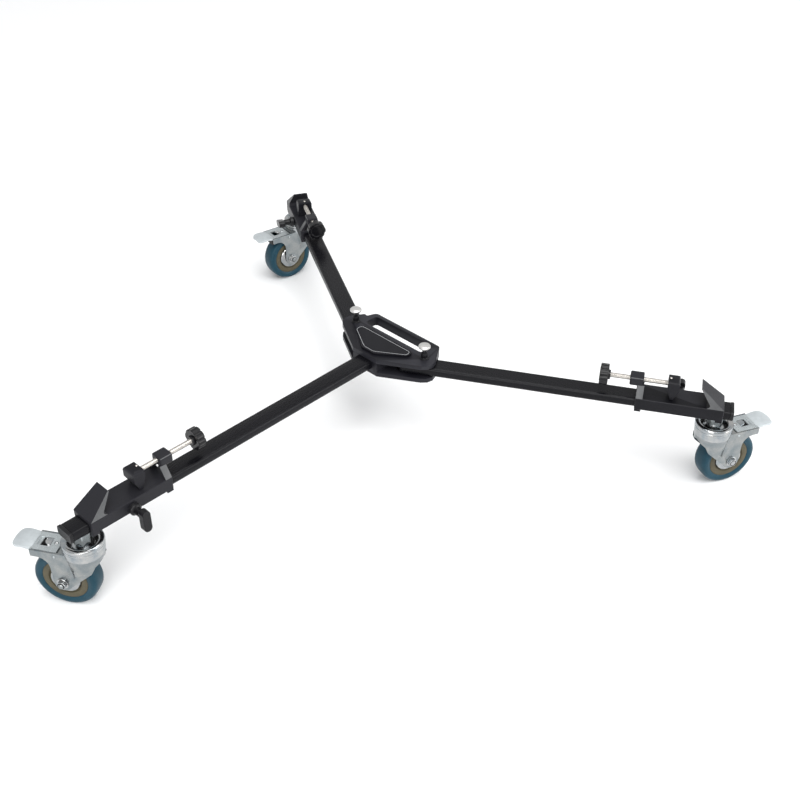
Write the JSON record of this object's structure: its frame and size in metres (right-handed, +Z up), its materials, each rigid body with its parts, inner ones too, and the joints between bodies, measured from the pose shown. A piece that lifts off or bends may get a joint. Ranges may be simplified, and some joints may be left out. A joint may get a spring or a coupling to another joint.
{
  "type": "tripod dolly",
  "caption": "Folding three-arm dolly with braked swivel casters, sliding screw clamps for tripod feet and a flat hub with a carrying slot",
  "frame": {"origin": "centre of the hub's deck, where the lines of the three arms meet, at the deck's height", "axes": "+Z up, fixed arm A along -Y, folding arms B and C at 120 degrees each side of it"},
  "size_m": [0.8391, 0.7947, 0.1569],
  "materials": {
    "hub_paint": "black satin paint",
    "panel_paint": "black satin paint, bare label field",
    "tube_black": "black anodised, satin",
    "carriage_paint": "black painted casting, satin",
    "black_plastic": "black moulded plastic",
    "turned_steel": "turned steel",
    "pad_brass": "plain brass",
    "zinc_steel": "bright zinc plate",
    "pedal_paint": "pale grey coat",
    "tyre_blue": "dark blue elastic tyre",
    "core_olive": "olive moulded core"
  },
  "bodies": {
    "hub": {"hub_bottom": "hub_paint", "hub_top": "hub_paint", "label_panel": "panel_paint", "socket_bolt_A": "turned_steel", "pivot_bolt_B": "turned_steel", "pivot_bolt_C": "turned_steel", "pin_bush_B": "black_plastic", "pin_bush_C": "black_plastic", "pin_spring_B": "turned_steel", "pin_spring_C": "turned_steel", "arm_tube_A": "tube_black", "end_plug_A": "black_plastic", "caster_stem_A": "zinc_steel"},
    "arm_B": {"arm_tube_B": "tube_black", "end_plug_B": "black_plastic", "caster_stem_B": "zinc_steel"},
    "pull_B": {"pull_pin_B": "turned_steel"},
    "arm_C": {"arm_tube_C": "tube_black", "end_plug_C": "black_plastic", "caster_stem_C": "zinc_steel"},
    "pull_C": {"pull_pin_C": "turned_steel"},
    "carriage_A": {"carriage_A": "carriage_paint"},
    "jaw_A": {"clamp_jaw_A": "carriage_paint"},
    "clamp_A": {"clamp_screw_A": "turned_steel", "clamp_knob_A": "black_plastic"},
    "lock_pad_A": {"lock_pad_A": "pad_brass"},
    "lock_screw_A": {"lock_screw_A": "black_plastic"},
    "caster_A": {"swivel_head_A": "zinc_steel", "fork_A": "zinc_steel", "axle_bolt_A": "zinc_steel"},
    "wheel_A": {"tyre_A": "tyre_blue", "wheel_core_A": "core_olive"},
    "brake_A": {"brake_lever_A": "zinc_steel", "brake_pedal_A": "pedal_paint"},
    "carriage_B": {"carriage_B": "carriage_paint"},
    "jaw_B": {"clamp_jaw_B": "carriage_paint"},
    "clamp_B": {"clamp_screw_B": "turned_steel", "clamp_knob_B": "black_plastic"},
    "lock_pad_B": {"lock_pad_B": "pad_brass"},
    "lock_screw_B": {"lock_screw_B": "black_plastic"},
    "caster_B": {"swivel_head_B": "zinc_steel", "fork_B": "zinc_steel", "axle_bolt_B": "zinc_steel"},
    "wheel_B": {"tyre_B": "tyre_blue", "wheel_core_B": "core_olive"},
    "brake_B": {"brake_lever_B": "zinc_steel", "brake_pedal_B": "pedal_paint"},
    "carriage_C": {"carriage_C": "carriage_paint"},
    "jaw_C": {"clamp_jaw_C": "carriage_paint"},
    "clamp_C": {"clamp_screw_C": "turned_steel", "clamp_knob_C": "black_plastic"},
    "lock_pad_C": {"lock_pad_C": "pad_brass"},
    "lock_screw_C": {"lock_screw_C": "black_plastic"},
    "caster_C": {"swivel_head_C": "zinc_steel", "fork_C": "zinc_steel", "axle_bolt_C": "zinc_steel"},
    "wheel_C": {"tyre_C": "tyre_blue", "wheel_core_C": "core_olive"},
    "brake_C": {"brake_lever_C": "zinc_steel", "brake_pedal_C": "pedal_paint"}
  },
  "joints": [
    {"name": "fold_B", "type": "hinge", "parent": "hub", "child": "arm_B", "pos_m": [-0.0433, 0.025, -0.016], "axis": [0, 0, 1], "range_deg": [0, 116]},
    {"name": "pull_B", "type": "slide", "parent": "hub", "child": "pull_B", "axis": [0, 0, 1], "range_m": [-0.004, 0], "deforming": ["pin_spring_B"]},
    {"name": "fold_C", "type": "hinge", "parent": "hub", "child": "arm_C", "pos_m": [0.0433, 0.025, -0.016], "axis": [0, 0, -1], "range_deg": [0, 116]},
    {"name": "pull_C", "type": "slide", "parent": "hub", "child": "pull_C", "axis": [0, 0, 1], "range_m": [-0.004, 0], "deforming": ["pin_spring_C"]},
    {"name": "carriage_slide_A", "type": "slide", "parent": "hub", "child": "carriage_A", "axis": [0, -1, 0], "range_m": [-0.12, 0.02]},
    {"name": "jaw_slide_A", "type": "slide", "parent": "carriage_A", "child": "jaw_A", "axis": [0, -1, 0], "range_m": [-0.0175, 0.025]},
    {"name": "clamp_turn_A", "type": "hinge", "parent": "jaw_A", "child": "clamp_A", "pos_m": [0, -0.3595, 0.0129], "axis": [0, -1, 0], "range_deg": [-5041, 7201]},
    {"name": "pad_slide_A", "type": "slide", "parent": "carriage_A", "child": "lock_pad_A", "axis": [1, 0, 0], "range_m": [0, 0.0015]},
    {"name": "lock_turn_A", "type": "hinge", "parent": "lock_pad_A", "child": "lock_screw_A", "pos_m": [0.0149, -0.3845, -0.016], "axis": [1, 0, 0], "range_deg": [0, 433]},
    {"name": "swivel_A", "type": "hinge", "parent": "hub", "child": "caster_A", "pos_m": [0, -0.442, -0.0406], "axis": [0, 0, 1], "continuous": true},
    {"name": "roll_A", "type": "hinge", "parent": "caster_A", "child": "wheel_A", "pos_m": [-0.02194, -0.45519, -0.0931], "axis": [0.515, -0.8572, 0], "continuous": true},
    {"name": "brake_press_A", "type": "hinge", "parent": "caster_A", "child": "brake_A", "pos_m": [-0.02486, -0.45694, -0.0533], "axis": [0.515, -0.8572, 0], "range_deg": [0, 3.5]},
    {"name": "carriage_slide_B", "type": "slide", "parent": "arm_B", "child": "carriage_B", "axis": [-0.866, 0.5, 0], "range_m": [-0.12, 0.007]},
    {"name": "jaw_slide_B", "type": "slide", "parent": "carriage_B", "child": "jaw_B", "axis": [-0.866, 0.5, 0], "range_m": [-0.03, 0.015]},
    {"name": "clamp_turn_B", "type": "hinge", "parent": "jaw_B", "child": "clamp_B", "pos_m": [-0.33429, 0.193, 0.0129], "axis": [-0.866, 0.5, 0], "range_deg": [-8641, 4321]},
    {"name": "pad_slide_B", "type": "slide", "parent": "carriage_B", "child": "lock_pad_B", "axis": [-0.5, -0.866, 0], "range_m": [0, 0.0015]},
    {"name": "lock_turn_B", "type": "hinge", "parent": "lock_pad_B", "child": "lock_screw_B", "pos_m": [-0.35169, 0.18585, -0.016], "axis": [-0.5, -0.866, 0], "range_deg": [0, 433]},
    {"name": "swivel_B", "type": "hinge", "parent": "arm_B", "child": "caster_B", "pos_m": [-0.38278, 0.221, -0.0406], "axis": [0, 0, 1], "continuous": true},
    {"name": "roll_B", "type": "hinge", "parent": "caster_B", "child": "wheel_B", "pos_m": [-0.38723, 0.19579, -0.0931], "axis": [0.9848, -0.1736, 0], "continuous": true},
    {"name": "brake_press_B", "type": "hinge", "parent": "caster_B", "child": "brake_B", "pos_m": [-0.38782, 0.19244, -0.0533], "axis": [0.9848, -0.1736, 0], "range_deg": [0, 3.5]},
    {"name": "carriage_slide_C", "type": "slide", "parent": "arm_C", "child": "carriage_C", "axis": [0.866, 0.5, 0], "range_m": [-0.12, 0.008]},
    {"name": "jaw_slide_C", "type": "slide", "parent": "carriage_C", "child": "jaw_C", "axis": [0.866, 0.5, 0], "range_m": [-0.025, 0.02]},
    {"name": "clamp_turn_C", "type": "hinge", "parent": "jaw_C", "child": "clamp_C", "pos_m": [0.32736, 0.189, 0.0129], "axis": [0.866, 0.5, 0], "range_deg": [-7201, 5761]},
    {"name": "pad_slide_C", "type": "slide", "parent": "carriage_C", "child": "lock_pad_C", "axis": [-0.5, 0.866, 0], "range_m": [0, 0.0015]},
    {"name": "lock_turn_C", "type": "hinge", "parent": "lock_pad_C", "child": "lock_screw_C", "pos_m": [0.33593, 0.21115, -0.016], "axis": [-0.5, 0.866, 0], "range_deg": [0, 433]},
    {"name": "swivel_C", "type": "hinge", "parent": "arm_C", "child": "caster_C", "pos_m": [0.38278, 0.221, -0.0406], "axis": [0, 0, 1], "continuous": true},
    {"name": "roll_C", "type": "hinge", "parent": "caster_C", "child": "wheel_C", "pos_m": [0.394, 0.24401, -0.0931], "axis": [-0.8988, 0.4384, 0], "continuous": true},
    {"name": "brake_press_C", "type": "hinge", "parent": "caster_C", "child": "brake_C", "pos_m": [0.3955, 0.24707, -0.0533], "axis": [-0.8988, 0.4384, 0], "range_deg": [0, 3.5]}
  ],
  "couplings": [
    {"joint": "clamp_turn_A", "follows": "jaw_slide_A", "rad_per_m": 5026.5},
    {"joint": "lock_turn_A", "follows": "pad_slide_A", "rad_per_m": 5026.5},
    {"joint": "clamp_turn_B", "follows": "jaw_slide_B", "rad_per_m": 5026.5},
    {"joint": "lock_turn_B", "follows": "pad_slide_B", "rad_per_m": 5026.5},
    {"joint": "clamp_turn_C", "follows": "jaw_slide_C", "rad_per_m": 5026.5},
    {"joint": "lock_turn_C", "follows": "pad_slide_C", "rad_per_m": 5026.5}
  ]
}
